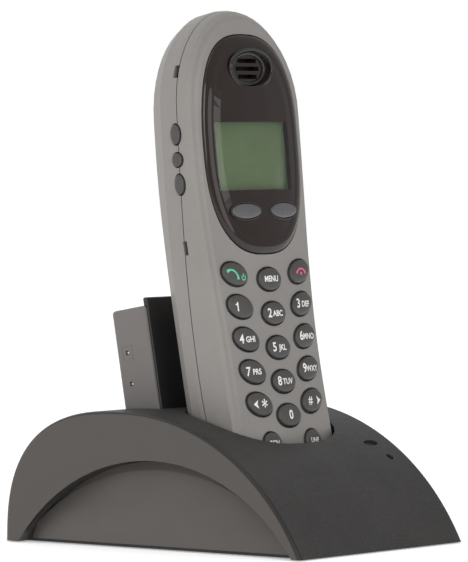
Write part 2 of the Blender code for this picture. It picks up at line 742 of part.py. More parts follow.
def make_base_inside(materials):
    """Slot liner, floor plate, feet, screws, charger board, contacts and inlet."""
    bm = block(bmesh.new(), (-LINER_HALF_WIDTH, LINER_FRONT, INSERT_BOTTOM),
               (LINER_HALF_WIDTH, LINER_REAR, BASE_HEIGHT + 2))
    liner = object_from(bm, "slot_liner", PARTS, materials["base"])
    reach = CAVITY_HALF_WIDTH - GAP
    trim = arch_solid(((-reach, HOUSING_WALL + GAP), (reach, HOUSING_WALL + GAP)), 0.1)
    combine(liner, cutter_from(trim, "liner_trim"), "INTERSECT")
    combine(liner, HANDSET_SLOT, "DIFFERENCE")
    combine(liner, SPARE_SLOT, "DIFFERENCE")
    gates = bmesh.new()
    for x in (-CONTACT_X, CONTACT_X):
        block(gates, (x - 1.4, 0.8, -9), (x + 1.4, 5.2, 1), HANDSET_FRAME)
        block(gates, (x - 1.4, -2.2, -9), (x + 1.4, 2.2, 1), SPARE_FRAME)
    combine(liner, cutter_from(gates, "contact_gates"), "DIFFERENCE")

    bm = block(bmesh.new(), (-reach, PLATE_FRONT, PLATE_BOTTOM),
               (reach, PLATE_REAR, PLATE_BOTTOM + PLATE_THICKNESS))
    plate = object_from(bm, "base_plate", PARTS, materials["base"])
    drills = bmesh.new()
    for x, y in SCREW_PLACES:
        barrel(drills, 1.5, 0, 5, Matrix.Translation((x, y, 0)), segments=12)
    combine(plate, cutter_from(drills, "plate_drills"), "DIFFERENCE")

    for number, (x, y) in enumerate(FOOT_PLACES, 1):
        foot = barrel(bmesh.new(), FOOT_RADIUS, 0, PLATE_BOTTOM - GAP, segments=20)
        object_from(foot, "rubber_foot_%d" % number, PARTS, materials["rubber"],
                    matrix=Matrix.Translation((x, y, 0)))
    turned = Matrix.Rotation(math.pi, 4, "X")
    for number, (x, y) in enumerate(SCREW_PLACES, 1):
        object_from(screw_profile(2.6, 1.1, 8.0), "plate_screw_%d" % number, PARTS, materials["steel"],
                    matrix=Matrix.Translation((x, y, PLATE_BOTTOM - 0.1)) @ turned)

    object_from(block(bmesh.new(), *CHARGER_BOARD), "charger_board", PARTS, materials["board"])
    half_x, half_z = INLET_HALF
    jack = block(bmesh.new(), (INLET_X - half_x, INLET_SPAN[0], INLET_Z - half_z),
                 (INLET_X + half_x, INLET_SPAN[1], INLET_Z + half_z))
    inlet = object_from(jack, "power_inlet", PARTS, materials["dark"])
    bore = barrel(bmesh.new(), INLET_BORE, 42, 56,
                  Matrix.Translation((INLET_X, 0, INLET_Z)) @ Y_ALONG_Z, segments=18)
    combine(inlet, cutter_from(bore, "inlet_bore"), "DIFFERENCE")

    for side, x in (("left", -CONTACT_X), ("right", CONTACT_X)):
        lower = block(bmesh.new(), (x - 1.0, 1.2, -4.2), (x + 1.0, 4.8, -0.35))
        object_from(lower, "handset_contact_" + side, PARTS, materials["brass"], matrix=HANDSET_FRAME)
        rear = block(bmesh.new(), (x - 1.0, -1.8, -5.5), (x + 1.0, 1.8, -0.35))
        object_from(rear, "spare_contact_" + side, PARTS, materials["brass"], matrix=SPARE_FRAME)
    for name, (half_size, place) in LIGHTS.items():
        pipe = oval_stack(bmesh.new(), half_size, ((0, -2.2), (0, -0.5)), count=16)
        object_from(pipe, name, PARTS, materials["light"], matrix=arch_seat(*place))


# ------------------------------------------------------------------ spare battery
def make_spare_battery(materials):
    """Grey tub with a black contact cover and the cells inside."""
    width, depth, height = SPARE_SIZE
    bm = block(bmesh.new(), (-width / 2, -depth / 2, 0), (width / 2, depth / 2, height))
    shell = object_from(bm, "spare_battery_shell", PARTS, materials["case"], SPARE)
    bevel(shell, 0.9)
    inside = block(bmesh.new(), (-width / 2 + SPARE_WALL, -depth, SPARE_WALL),
                   (width / 2 - SPARE_WALL, depth / 2 - SPARE_WALL, height - SPARE_WALL), SPARE_FRAME)
    combine(shell, cutter_from(inside, "spare_battery_inside"), "DIFFERENCE")
    mouth = block(bmesh.new(), (-20.3, -depth, -1), (20.3, -depth / 2 + 1.6, height + 3), SPARE_FRAME)
    combine(shell, cutter_from(mouth, "spare_battery_mouth"), "DIFFERENCE")
    pits = bmesh.new()
    for pit_height in PIT_HEIGHTS:
        block(pits, (-width, PIT_Y - PIT_HALF, pit_height - PIT_HALF),
              (-width / 2 + PIT_DEPTH, PIT_Y + PIT_HALF, pit_height + PIT_HALF), SPARE_FRAME)
    combine(shell, cutter_from(pits, "spare_battery_pits"), "DIFFERENCE")
    cover_front = -depth / 2 - SPARE_COVER_PROUD
    cover = block(bmesh.new(), (-SPARE_COVER_HALF, cover_front, 0.5),
                  (SPARE_COVER_HALF, cover_front + SPARE_COVER_THICKNESS, height + SPARE_COVER_RISE))
    part = object_from(cover, "spare_battery_cover", PARTS, materials["dark"], SPARE)
    bevel(part, 0.3, 1)
    cells = block(bmesh.new(), (-width / 2 + SPARE_WALL + GAP, -depth / 2 + 1.9, SPARE_WALL + GAP),
                  (width / 2 - SPARE_WALL - GAP, depth / 2 - SPARE_WALL - GAP, height - SPARE_WALL - GAP))
    object_from(cells, "spare_battery_cells", PARTS, materials["cell"], SPARE)


def frame_empty(name, frame):
    """An empty that carries the pieces of one removable unit."""
    made = bpy.data.objects.new(name, None)
    PARTS.objects.link(made)
    placed = frame.copy()
    placed.translation *= MM
    made.matrix_world = placed
    return made


for old in list(bpy.data.objects):
    bpy.data.objects.remove(old)

PARTS = collection("cordless_phone_with_base")
CUTTERS = collection("cutters")
HANDSET = frame_empty("handset_slide_origin", HANDSET_FRAME)
SPARE = frame_empty("spare_battery_slide_origin", SPARE_FRAME)

MATERIALS = {
    "case": plastic("warm_grey_case", (0.30, 0.28, 0.265), 0.5),
    "key": plastic("dark_grey_keys", (0.075, 0.072, 0.07), 0.45),
    "soft_key": plastic("gloss_grey_keys", (0.11, 0.11, 0.115), 0.25),
    "window": plastic("tinted_window", (0.02, 0.015, 0.013), 0.08),
    "display": plastic("green_display", (0.14, 0.19, 0.11), 0.3),
    "base": plastic("charcoal_base", (0.055, 0.05, 0.048), 0.5),
    "dark": plastic("black_plastic", (0.01, 0.01, 0.01), 0.4),
    "board": plastic("board_green", (0.02, 0.12, 0.05), 0.5),
    "rubber": plastic("dark_rubber", (0.02, 0.02, 0.02), 0.8),
    "metal": plastic("steel_can", (0.5, 0.5, 0.5), 0.35, 1.0),
    "steel": plastic("screw_steel", (0.6, 0.6, 0.6), 0.3, 1.0),
    "brass": plastic("contact_brass", (0.8, 0.6, 0.25), 0.3, 1.0),
    "light": plastic("light_pipe", (0.3, 0.32, 0.3), 0.2),
    "cell": plastic("cell_wrap", (0.1, 0.2, 0.5), 0.4),
}

SIDE_HOLES = make_side_holes()
HANDSET_SLOT = handset_pocket("handset_slot")
SPARE_SLOT = spare_pocket("spare_slot")

make_front_case(MATERIALS["case"])
make_rear_case(MATERIALS["case"])
make_window(MATERIALS["window"])
make_keys(MATERIALS)
make_handset_inside(MATERIALS)
make_handset_power(MATERIALS)
make_housing(MATERIALS["base"])
make_base_inside(MATERIALS)
make_spare_battery(MATERIALS)
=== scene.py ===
# %% [markdown]
# A cordless phone stands in its charging base, with a spare battery pack behind it.
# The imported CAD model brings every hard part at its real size, so this file only has
# to give each part its finish and add what is too fine for CAD: printed legends, soft
# rims, rounder key caps and moulded texture. Pieces made here lie in the same frame,
# and ride on the CAD body that they belong to.

import json
import math

import bmesh
import bpy
from mathutils import Matrix, Vector


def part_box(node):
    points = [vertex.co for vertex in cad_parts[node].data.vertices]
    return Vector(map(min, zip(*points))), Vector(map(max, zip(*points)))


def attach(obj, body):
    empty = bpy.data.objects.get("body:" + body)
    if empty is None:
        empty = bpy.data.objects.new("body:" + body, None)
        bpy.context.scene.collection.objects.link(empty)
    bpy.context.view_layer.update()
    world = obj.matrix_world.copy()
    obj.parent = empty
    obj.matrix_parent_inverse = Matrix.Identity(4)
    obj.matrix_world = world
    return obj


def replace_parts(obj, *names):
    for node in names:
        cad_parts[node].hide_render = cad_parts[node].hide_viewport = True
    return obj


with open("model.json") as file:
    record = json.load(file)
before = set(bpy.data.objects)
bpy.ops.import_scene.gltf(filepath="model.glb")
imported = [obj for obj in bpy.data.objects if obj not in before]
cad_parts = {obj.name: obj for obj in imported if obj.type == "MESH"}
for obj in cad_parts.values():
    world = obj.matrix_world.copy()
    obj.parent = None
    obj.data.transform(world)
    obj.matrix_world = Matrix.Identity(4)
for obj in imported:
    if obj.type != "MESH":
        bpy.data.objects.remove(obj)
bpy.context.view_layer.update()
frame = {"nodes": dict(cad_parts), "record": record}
NODES = frame["nodes"]
MM = 0.001

# %% [markdown]
# The camera comes first, because everything else is judged through it. A long lens
# from far away keeps upright edges nearly parallel, as in a catalogue picture. Its
# place is given by an azimuth, a small elevation and a distance from a target.

# %% Camera
AZIMUTH = math.radians(-52.0)
ELEVATION = math.radians(1.91)
TARGET = Vector((0.093, 0.0, 72.63)) * MM
DISTANCE = 1380.3 * MM
LENS = 318.5

back = Vector((math.sin(AZIMUTH) * math.cos(ELEVATION),
               -math.cos(AZIMUTH) * math.cos(ELEVATION), math.sin(ELEVATION)))
camera_data = bpy.data.cameras.new("studio_camera")
camera_data.lens = LENS
camera_data.sensor_width = 36.0
camera_data.sensor_fit = "AUTO"
camera_data.clip_start = 0.1
camera = bpy.data.objects.new("studio_camera", camera_data)
bpy.context.scene.collection.objects.link(camera)
camera.location = TARGET + back * DISTANCE
camera.rotation_euler = back.to_track_quat("Z", "Y").to_euler()
bpy.context.scene.camera = camera
print("camera at", [round(value, 3) for value in camera.location])

# %% [markdown]
# The node trees below are built with a few small helpers, so that they read as short
# formulas: a node with its inputs set by name, a Math node and a Mix node.

# %% Shader helpers
def numbered(tree, kind, **inputs):
    """A new node whose inputs are set by name."""
    node = tree.nodes.new(kind)
    for name, value in inputs.items():
        node.inputs[name.replace("_", " ")].default_value = value
    return node


def plug(tree, socket, value):
    """Link another node's output into a socket, or set the socket to a plain value."""
    if isinstance(value, bpy.types.NodeSocket):
        tree.links.new(value, socket)
    else:
        socket.default_value = value


def worked_out(tree, operation, *values):
    """Output of a Math node on these values."""
    node = tree.nodes.new("ShaderNodeMath")
    node.operation = operation
    for socket, value in zip(node.inputs, values):
        plug(tree, socket, value)
    return node.outputs["Value"]


def mixed(tree, kind, share, first, second):
    """Output of a Mix node of this kind, from first at share 0 to second at share 1."""
    node = tree.nodes.new("ShaderNodeMix")
    node.data_type = kind
    sockets = [item for item in node.inputs if item.enabled]
    for socket, value in zip(sockets, (share, first, second)):
        plug(tree, socket, value)
    return [item for item in node.outputs if item.enabled][0]


# %% [markdown]
# Soft studio light. The surround is white behind, above and to the left, and falls off
# towards the front right, as in a booth that is open on one side. Dark plastic shows
# this more than it shows lamps, because much of what it sends back is a reflection.
# The camera itself sees plain white. Standard keeps the greys as the finishes set them.
# The third panel adds no diffuse light, only a faint mirror image in polished surfaces.

# %% Light and floor
scene = bpy.context.scene
scene.view_settings.view_transform = "Standard"
OPEN_SIDE = Vector((0.62, -0.76, 0.2)).normalized()
OPEN_SIDE_LIGHT = 0.42
SURROUND_LIGHT = 1.0
FALL_START, FALL_END = -0.1, 0.85
WHITE = (1, 1, 1, 1)
PANEL_AIM = Vector((0, 0, 0.07))
FLOOR_GLOW = 0.34


def booth_world():
    """White surround that is dim on its open side."""
    made = bpy.data.worlds.new("white_booth")
    made.use_nodes = True
    tree = made.node_tree
    lit = tree.nodes["Background"]
    way = tree.nodes.new("ShaderNodeTexCoord")
    facing = tree.nodes.new("ShaderNodeVectorMath")
    facing.operation = "DOT_PRODUCT"
    facing.inputs[1].default_value = OPEN_SIDE
    tree.links.new(way.outputs["Generated"], facing.inputs[0])
    fall = numbered(tree, "ShaderNodeMapRange", From_Min=FALL_START, From_Max=FALL_END,
                    To_Min=SURROUND_LIGHT, To_Max=OPEN_SIDE_LIGHT)
    fall.interpolation_type = "SMOOTHSTEP"
    tree.links.new(facing.outputs["Value"], fall.inputs["Value"])
    tree.links.new(fall.outputs["Result"], lit.inputs["Strength"])
    lit.inputs["Color"].default_value = WHITE
    plain = numbered(tree, "ShaderNodeBackground", Color=WHITE)
    seen = tree.nodes.new("ShaderNodeLightPath")
    choose = tree.nodes.new("ShaderNodeMixShader")
    tree.links.new(seen.outputs["Is Camera Ray"], choose.inputs["Fac"])
    tree.links.new(lit.outputs["Background"], choose.inputs[1])
    tree.links.new(plain.outputs["Background"], choose.inputs[2])
    tree.links.new(choose.outputs["Shader"], tree.nodes["World Output"].inputs["Surface"])
    return made


scene.world = booth_world()


def light_panel(name, place, size, power):
    """An area light that faces the middle of the object."""
    data = bpy.data.lights.new(name, "AREA")
    data.shape = "DISK"
    data.size = size
    data.energy = power
    panel = bpy.data.objects.new(name, data)
    scene.collection.objects.link(panel)
    panel.location = place
    panel.rotation_euler = (Vector(place) - PANEL_AIM).to_track_quat("Z", "Y").to_euler()
    return panel


light_panel("front_left_panel", (-0.3, -0.8, 0.4), size=0.4, power=1.3)
light_panel("overhead_panel", (-0.2, -0.3, 0.95), size=0.5, power=0.4)
glint = light_panel("glint_panel", (0.335, -0.718, 0.21), size=0.26, power=0.22)
glint.visible_diffuse = False

floor_mesh = bmesh.new()
bmesh.ops.create_grid(floor_mesh, x_segments=1, y_segments=1, size=3.0)
floor_data = bpy.data.meshes.new("floor")
floor_mesh.to_mesh(floor_data)
floor_mesh.free()
floor = bpy.data.objects.new("floor", floor_data)
scene.collection.objects.link(floor)
print("lights:", ", ".join(light.name for light in bpy.data.lights))

# %% [markdown]
# Moulded plastic is never one flat colour. The mould's surface is etched, so the part
# gets a fine grain, and thick and thin walls cool to slightly different sheens. Three
# noises do this: one for grain as bump, a broad one that shifts the colour a little,
# and a middling one that varies the roughness.

# %% Moulded plastic finishes
BUMP_STRENGTH = 0.6
MOTTLE_SCALE, MOTTLE_ENDS = 60.0, (0.3, 0.7)
SPECK_SCALE, SPECK_ENDS = 1.7, (0.68, 0.76)
SHEEN_SCALE, SHEEN_SPREAD = 240.0, 0.15


def moulded(name, colour, roughness, grain=2600.0, depth=0.03, mottle=0.12, specular=0.5,
            metallic=0.0, specks=0.0):
    """Etched plastic or metal. grain is per metre, depth in millimetres."""
    made = bpy.data.materials.new(name)
    made.use_nodes = True
    tree = made.node_tree
    shader = tree.nodes["Principled BSDF"]
    shader.inputs["Metallic"].default_value = metallic
    shader.inputs["Specular IOR Level"].default_value = specular
    place = tree.nodes.new("ShaderNodeTexCoord")

    def noise(scale, detail):
        node = numbered(tree, "ShaderNodeTexNoise", Scale=scale, Detail=detail)
        tree.links.new(place.outputs["Object"], node.inputs["Vector"])
        return node.outputs["Fac"]

    bump = numbered(tree, "ShaderNodeBump", Strength=BUMP_STRENGTH, Distance=depth * MM)
    tree.links.new(noise(grain, 3.0), bump.inputs["Height"])
    tree.links.new(bump.outputs["Normal"], shader.inputs["Normal"])

    ramp = tree.nodes.new("ShaderNodeValToRGB")
    shades = (1 - mottle, 1 + mottle)
    for stop, position, shade in zip(ramp.color_ramp.elements, MOTTLE_ENDS, shades):
        stop.position = position
        stop.color = (*[c * shade for c in colour], 1)
    tree.links.new(noise(MOTTLE_SCALE, 2.0), ramp.inputs["Fac"])
    colour_out = ramp.outputs["Color"]
    if specks:
        dots = numbered(tree, "ShaderNodeMapRange", From_Min=SPECK_ENDS[0],
                        From_Max=SPECK_ENDS[1])
        tree.links.new(noise(grain * SPECK_SCALE, 0.0), dots.inputs["Value"])
        bright = (*[min(1.0, c + specks) for c in colour], 1)
        colour_out = mixed(tree, "RGBA", dots.outputs["Result"], colour_out, bright)
    tree.links.new(colour_out, shader.inputs["Base Color"])

    sheen = numbered(tree, "ShaderNodeMapRange", To_Min=roughness * (1 - SHEEN_SPREAD),
                     To_Max=roughness * (1 + SHEEN_SPREAD))
    tree.links.new(noise(SHEEN_SCALE, 3.0), sheen.inputs["Value"])
    tree.links.new(sheen.outputs["Result"], shader.inputs["Roughness"])
    return made


# Lighter, warmer colour for the base's side walls and scoop panels: painted light, standing in
# for light from the left.
SIDE_WALL_PAINTED_LIGHT_COLOUR = (0.082, 0.073, 0.067)
SIDE_WALL_ROUGHNESS = 0.42
FINISH = {
    "handset_grey": moulded("handset_grey", (0.25, 0.236, 0.222), 0.45, grain=3600.0,
                            depth=0.05, mottle=0.04, specks=0.05),
    "key_grey": moulded("key_grey", (0.06, 0.057, 0.055), 0.38, depth=0.01, mottle=0.06),
    "softkey_gloss": moulded("softkey_gloss", (0.09, 0.09, 0.094), 0.28, depth=0.004),
    "display_green": moulded("display_green", (0.215, 0.3, 0.15), 0.45, depth=0.003,
                             mottle=0.05),
    "base_charcoal": moulded("base_charcoal", (0.036, 0.034, 0.033), 0.55, grain=3400.0,
                             depth=0.05, mottle=0.1, specks=0.06, specular=0.3),
    "black_plastic": moulded("black_plastic", (0.016, 0.015, 0.015), 0.4),
    "circuit_board": moulded("circuit_board", (0.02, 0.12, 0.05), 0.4, grain=900.0),
    "dark_rubber": moulded("dark_rubber", (0.022, 0.022, 0.022), 0.75, grain=1800.0,
                           specular=0.3),
    "plated_steel": moulded("plated_steel", (0.62, 0.61, 0.6), 0.3, grain=5000.0,
                            depth=0.005, metallic=1.0),
    "contact_brass": moulded("contact_brass", (0.8, 0.62, 0.3), 0.25, grain=5000.0,
                             depth=0.005, metallic=1.0),
    "light_pipe": moulded("light_pipe", (0.006, 0.006, 0.006), 0.5, depth=0.004, specular=0.2),
    "cell_wrap": moulded("cell_wrap", (0.1, 0.2, 0.5), 0.3, depth=0.01),
    "gloss_black": moulded("gloss_black", (0.014, 0.013, 0.013), 0.1, depth=0.002),
    "side_wall": moulded("side_wall", SIDE_WALL_PAINTED_LIGHT_COLOUR, SIDE_WALL_ROUGHNESS, grain=4200.0,
                         depth=0.025, mottle=0.06),
    "white_ink": moulded("white_ink", (0.85, 0.85, 0.83), 0.55, grain=6000.0, depth=0.003,
                         mottle=0.03),
    "green_ink": moulded("green_ink", (0.12, 0.62, 0.38), 0.55, grain=6000.0, depth=0.003,
                         mottle=0.03),
    "red_ink": moulded("red_ink", (0.8, 0.13, 0.25), 0.55, grain=6000.0, depth=0.003,
                       mottle=0.03),
}
# A darker copy of the handset's grey for the spare pack: painted shade, for the shade it sits in
# behind the handset.
SPARE_SHADED_GREY = moulded("spare_grey_painted_shade", (0.16, 0.148, 0.142), 0.5, grain=3600.0, depth=0.04,
                     mottle=0.04)
floor_paint = moulded("pale_floor", (0.95, 0.95, 0.95), 0.8, grain=50.0, mottle=0.01,
                      specular=0.0)
floor_shader = floor_paint.node_tree.nodes["Principled BSDF"]
floor_shader.inputs["Emission Color"].default_value = WHITE
floor_shader.inputs["Emission Strength"].default_value = FLOOR_GLOW
floor_data.materials.append(floor_paint)
print("finishes:", ", ".join(FINISH))

# %% [markdown]
# The flat side walls of the base are painted lighter and warmer than its arched front.
# This is painted light, standing in for light from the left, and both walls get it. A
# finer etch would look like that, and so would light from the left, so this is a
# choice and not a known fact. Between them the rounded edge is smoother and painted
# darker, and so is the wall of the scoop: painted shade. The place across the width
# tells the three apart.

# %% Painted light and shade bands on the housing
# Where each begins across the width, how far it takes to blend in, colour, roughness.
HOUSING_LIGHT_AND_SHADE_BANDS = (
    # Painted shade on the rounded edge and on the scoop's wall.
    (35.9, 0.5, (0.022, 0.021, 0.02), 0.32),
    # Painted light on the side walls, standing in for light from the left.
    (37.35, 0.15, SIDE_WALL_PAINTED_LIGHT_COLOUR, SIDE_WALL_ROUGHNESS),
)


def housing_with_painted_light(front):
    """A copy of the front finish that turns into the edge's painted shade and then the side
    walls' painted light.
    """
    made = front.copy()
    made.name = "housing_charcoal"
    tree = made.node_tree
    shader = tree.nodes["Principled BSDF"]
    place = tree.nodes.new("ShaderNodeTexCoord")
    split = tree.nodes.new("ShaderNodeSeparateXYZ")
    tree.links.new(place.outputs["Object"], split.inputs["Vector"])
    out = worked_out(tree, "ABSOLUTE", split.outputs["X"])
    for x, blur, colour, roughness in HOUSING_LIGHT_AND_SHADE_BANDS:
        past = numbered(tree, "ShaderNodeMapRange", From_Min=x * MM, From_Max=(x + blur) * MM)
        tree.links.new(out, past.inputs["Value"])
        for name, kind, value in (("Base Color", "RGBA", (*colour, 1)),
                                  ("Roughness", "FLOAT", roughness)):
            socket = shader.inputs[name]
            before = socket.links[0].from_socket
            tree.links.new(mixed(tree, kind, past.outputs["Result"], before, value), socket)
    return made


HOUSING_CHARCOAL = housing_with_painted_light(FINISH["base_charcoal"])
print("housing finish has", len(HOUSING_LIGHT_AND_SHADE_BANDS), "bands past the front")

# %% [markdown]
# The handset's surfaces follow a spine that leans back and bends a little. Repeating
# its few formulas here lets a cap, a rim or a legend be placed by x across, s along
# the spine and t forwards, exactly where the CAD has its hole.

# %% Handset places
SPINE_Y, SPINE_Z = -14.3, 9.0
LEAN_START = math.radians(13.5)
BEND_RATE = math.radians(0.085)
FACE_T, FACE_TAPER = 10.9, 0.0145
FACE_ROLL = 3.9
FACE_CROWN = 170.0
HANDSET_LENGTH = 140.0
WIDEST_S = 112.0


def lean(s):
    """Backward lean of the spine at s."""
    return LEAN_START - BEND_RATE * s


def handset_point(x, t, s):
    """A handset place in the object's frame, in millimetres."""
    y = SPINE_Y + (math.cos(lean(s)) - math.cos(LEAN_START)) / BEND_RATE
    z = SPINE_Z + (math.sin(LEAN_START) - math.sin(lean(s))) / BEND_RATE
    return Vector((x, y - t * math.cos(lean(s)), z + t * math.sin(lean(s))))


def face_t(x, s):
    """Height of the front face over the spine."""
    rolled = FACE_ROLL * max(0.0, (s - WIDEST_S) / (HANDSET_LENGTH - WIDEST_S)) ** 2
    return FACE_T - FACE_TAPER * s - x * x / (2 * FACE_CROWN) - rolled


def placement(right, up, out, place):
    """A matrix from three unit axes and a place."""
    return Matrix([list(row) for row in zip(right, up, out, place)] + [[0, 0, 0, 1]])


def face_seat(x, s, tilt=0.0):
    """Placement on the face, in millimetres, local Z out of it and local Y up it."""
    leaned = Matrix.Rotation(-lean(s), 3, "X")
    out = leaned @ Matrix.Rotation(x / FACE_CROWN, 3, "Z") @ Vector((0, -1, 0))
    up = leaned @ Vector((0, 0, 1))
    turned = Matrix.Rotation(tilt, 3, out)
    place = handset_point(x, face_t(x, s), s)
    return placement(turned @ up.cross(out), turned @ up, out, place)


KEY_ROWS = (("key_talk", "key_menu", "key_end"), ("key_1", "key_2", "key_3"),
            ("key_4", "key_5", "key_6"), ("key_7", "key_8", "key_9"),
            ("key_star", "key_0", "key_hash"))
LOWER_KEYS = ("key_function", "key_line")
KEY_TILT = math.radians(14)
SIDE_X, SIDE_X_STEP = 14.5, 0.69
SIDE_S, SIDE_PITCH = 66.0, 9.2
MIDDLE_S, MIDDLE_PITCH = 64.1, 9.65
LOWER_X, LOWER_S = 9.0, 17.9
SOFT_X = {"softkey_left": -7.5, "softkey_right": 9.3}
SOFT_S = 83.4
SEAT_TOLERANCE = 1.5
KEY_SEATS, KEY_TURNS = {}, {}


def seat_key(name, x, s, tilt=0.0):
    """Note where a key sits and how far it is turned."""
    KEY_SEATS[name] = face_seat(x, s, tilt)
    KEY_TURNS[name] = tilt


for row, (left, middle, right) in enumerate(KEY_ROWS):
    x, s = SIDE_X - SIDE_X_STEP * row, SIDE_S - SIDE_PITCH * row
    seat_key(left, -x, s, -KEY_TILT)
    seat_key(middle, 0.0, MIDDLE_S - MIDDLE_PITCH * row)
    seat_key(right, x, s, KEY_TILT)
for side, name in zip((-1, 1), LOWER_KEYS):
    seat_key(name, side * LOWER_X, LOWER_S, side * KEY_TILT)
SOFT_SEATS = {name: face_seat(x, SOFT_S) for name, x in SOFT_X.items()}
for name, seat in {**KEY_SEATS, **SOFT_SEATS}.items():
    low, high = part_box(name)
    off = (low + high) / 2 - seat.translation * MM
    assert off.length < SEAT_TOLERANCE * MM, name
print("key seats agree with", len(KEY_SEATS) + len(SOFT_SEATS), "CAD caps")

# %% [markdown]
# The window is one tinted moulding whose underside is painted dark everywhere except
# over the display. A mask in Object coordinates stands for that paint: inside the
# rectangle the moulding lets light through, and outside it is nearly black. The mask
# is tilted by the handset's lean, so that its edges are square to the display.

# %% Tinted window
DISPLAY_X, DISPLAY_T, DISPLAY_S = -1.3, 8.0, 98.9
DISPLAY_HALF = (16.0, 9.4)
PAINTED = (0.02, 0.013, 0.011, 1)
CLEAR = (0.86, 0.88, 0.84, 1)


def tinted_window():
    """Dark gloss with a clear rectangle over the display."""
    made = bpy.data.materials.new("tinted_window")
    made.use_nodes = True
    tree = made.node_tree
    shader = tree.nodes["Principled BSDF"]
    shader.inputs["Roughness"].default_value = 0.06
    shader.inputs["Specular IOR Level"].default_value = 0.5
    shader.inputs["IOR"].default_value = 1.45
    place = tree.nodes.new("ShaderNodeTexCoord")
    square = numbered(tree, "ShaderNodeMapping", Rotation=(-lean(DISPLAY_S), 0, 0),
                      Location=handset_point(DISPLAY_X, DISPLAY_T, DISPLAY_S) * MM)
    square.vector_type = "TEXTURE"
    tree.links.new(place.outputs["Object"], square.inputs["Vector"])
    split = tree.nodes.new("ShaderNodeSeparateXYZ")
    tree.links.new(square.outputs["Vector"], split.inputs["Vector"])
    inside = []
    for axis, half in zip("XZ", DISPLAY_HALF):
        distance = worked_out(tree, "ABSOLUTE", split.outputs[axis])
        inside.append(worked_out(tree, "LESS_THAN", distance, half * MM))
    clear = worked_out(tree, "MULTIPLY", *inside)
    tree.links.new(clear, shader.inputs["Transmission Weight"])
    tree.links.new(mixed(tree, "RGBA", clear, PAINTED, CLEAR), shader.inputs["Base Color"])
    return made


FINISH["tinted_window"] = tinted_window()
print("window is clear over", [2 * half for half in DISPLAY_HALF], "mm")

# %% [markdown]
# CAD nodes whose shape is already right keep it, and take their record slot's finish.
# The slot names in the record are the same as the finishes above, so one loop does it.

# %% Finishes on the CAD nodes
SLOTS = {part["node"]: part["material_slot"] for part in frame["record"]["subparts"]}
for name, node in NODES.items():
    node.data.materials.clear()
    node.data.materials.append(FINISH[SLOTS[name]])
NODES["base_housing"].data.materials[0] = HOUSING_CHARCOAL
# The spare shell takes the painted-shade grey.
NODES["spare_battery_shell"].data.materials[0] = SPARE_SHADED_GREY
# The receiver behind the earpiece slots is painted dark: painted shade that makes the slots read
# dark.
NODES["earpiece_receiver"].data.materials[0] = FINISH["dark_rubber"]
print("painted", len(NODES), "nodes")

# %% [markdown]
# A moulded key cap has a soft edge and a slightly crowned top. A loft of ellipses can
# follow a quarter-round edge closely, with enough points that no corner shows, so
# each CAD cap is replaced by a finer one of the same outer size.

# %% Piece helpers
SHARP_ANGLE = math.radians(50)
CROWN_INSET = 1.6
EDGE_RISE = 0.85


def piece_from(bm, name, body, slot, matrix=None):
    """Place a millimetre bmesh in the frame, in metres, and ride it on a body."""
    if matrix:
        bmesh.ops.transform(bm, matrix=matrix, verts=bm.verts)
    bmesh.ops.scale(bm, vec=(MM, MM, MM), verts=bm.verts)
    mesh = bpy.data.meshes.new(name)
    bm.to_mesh(mesh)
    bm.free()
    mesh.shade_smooth()
    mesh.set_sharp_from_angle(angle=SHARP_ANGLE)
    mesh.materials.append(FINISH[slot])
    made = bpy.data.objects.new(name, mesh)
    scene.collection.objects.link(made)
    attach(made, body)
    return made


def join_rings(bm, rings):
    """Add the faces between each ring and the next."""
    for low, high in zip(rings, rings[1:]):
        for i in range(len(low)):
            j = (i + 1) % len(low)
            bm.faces.new((low[i], low[j], high[j], high[i]))


def ellipse_stack(half, levels, count=56):
    """Closed solid of ellipses; levels are (inset, height), lowest first."""
    bm = bmesh.new()
    rings = []
    for inset, height in levels:
        ring = []
        for i in range(count):
            turn = 2 * math.pi * i / count
            ring.append(bm.verts.new(((half[0] - inset) * math.cos(turn),
                                      (half[1] - inset) * math.sin(turn), height)))
        rings.append(ring)
    join_rings(bm, rings)
    bm.faces.new(list(reversed(rings[0])))
    bm.faces.new(rings[-1])
    return bm


def cap_levels(bottom, shoulder, top, edge):
    """Straight skirt, quarter-round edge, then a crown up to the top."""
    levels = [(0.0, bottom), (0.0, shoulder)]
    rise = top - shoulder
    for step in range(1, 7):
        turn = math.pi / 2 * step / 6
        levels.append((edge * (1 - math.cos(turn)), shoulder + rise * EDGE_RISE * math.sin(turn)))
    for step in range(1, 5):
        share = step / 5
        levels.append((edge + (CROWN_INSET - edge) * share,
                       shoulder + rise * (EDGE_RISE + (1 - EDGE_RISE) * share)))
    return levels


# %% Key caps
KEY_HALF = (5.0, 3.1)
LOWER_HALF = (3.6, 3.1)
SOFT_HALF = (6.1, 2.1)
KEY_DEPTH = 2.2
KEY_TOP = 1.0
KEY_LEVELS = cap_levels(-KEY_DEPTH, shoulder=0.3, top=KEY_TOP, edge=0.8)
SOFT_LEVELS = cap_levels(-KEY_DEPTH, shoulder=0.9, top=1.5, edge=0.7)


def key_half(name):
    """Half width and half height of a keypad cap."""
    return LOWER_HALF if name in LOWER_KEYS else KEY_HALF


for name, seat in KEY_SEATS.items():
    bm = ellipse_stack(key_half(name), KEY_LEVELS)
    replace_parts(piece_from(bm, "cap_" + name, name, "key_grey", seat), name)
for name, seat in SOFT_SEATS.items():
    bm = ellipse_stack(SOFT_HALF, SOFT_LEVELS)
    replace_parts(piece_from(bm, "cap_" + name, name, "softkey_gloss", seat), name)
print("made", len(KEY_SEATS) + len(SOFT_SEATS), "caps")

# %% [markdown]
# Every key sits in a shallow dark well whose lip is the same bead bent round an
# ellipse, and the grips further down are rows of the same short rod. Both repeat, so
# Geometry Nodes sweep the shape once and place it on a point for each repeat.

